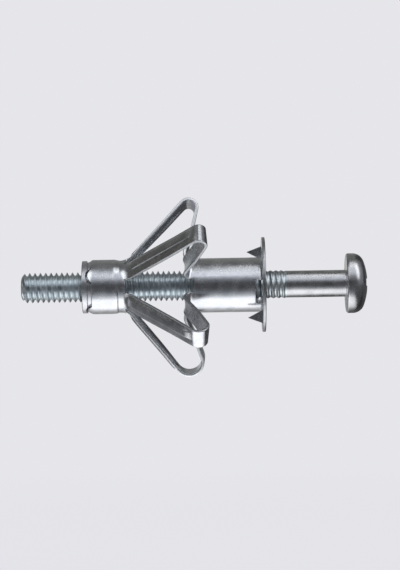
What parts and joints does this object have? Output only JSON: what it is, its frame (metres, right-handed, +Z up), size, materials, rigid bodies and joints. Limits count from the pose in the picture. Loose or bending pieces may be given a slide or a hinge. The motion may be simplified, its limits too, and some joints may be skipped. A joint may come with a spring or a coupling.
{
  "type": "hollow wall anchor",
  "caption": "Set hollow wall anchor: a sheet steel sleeve with folded legs behind a toothed flange, a captive nut and a long pan head machine screw.",
  "frame": {"origin": "on the screw axis, in the flange's board side face", "axes": "+X along the screw towards its head, +Z up, front at -Y"},
  "size_m": [0.0452, 0.0215, 0.0236],
  "materials": {
    "sleeve_steel": "bright zinc plate over rolled sheet",
    "nut_steel": "zinc plate over turned steel",
    "screw_steel": "bright blue-white zinc plate over rolled thread"
  },
  "bodies": {
    "anchor": {"sleeve": "sleeve_steel", "captive_nut": "nut_steel"},
    "screw": {"machine_screw": "screw_steel"}
  },
  "joints": [
    {"name": "screw_travel", "type": "slide", "parent": "anchor", "child": "screw", "axis": [1, 0, 0], "range_m": [-0.01055, 0.032]}
  ]
}
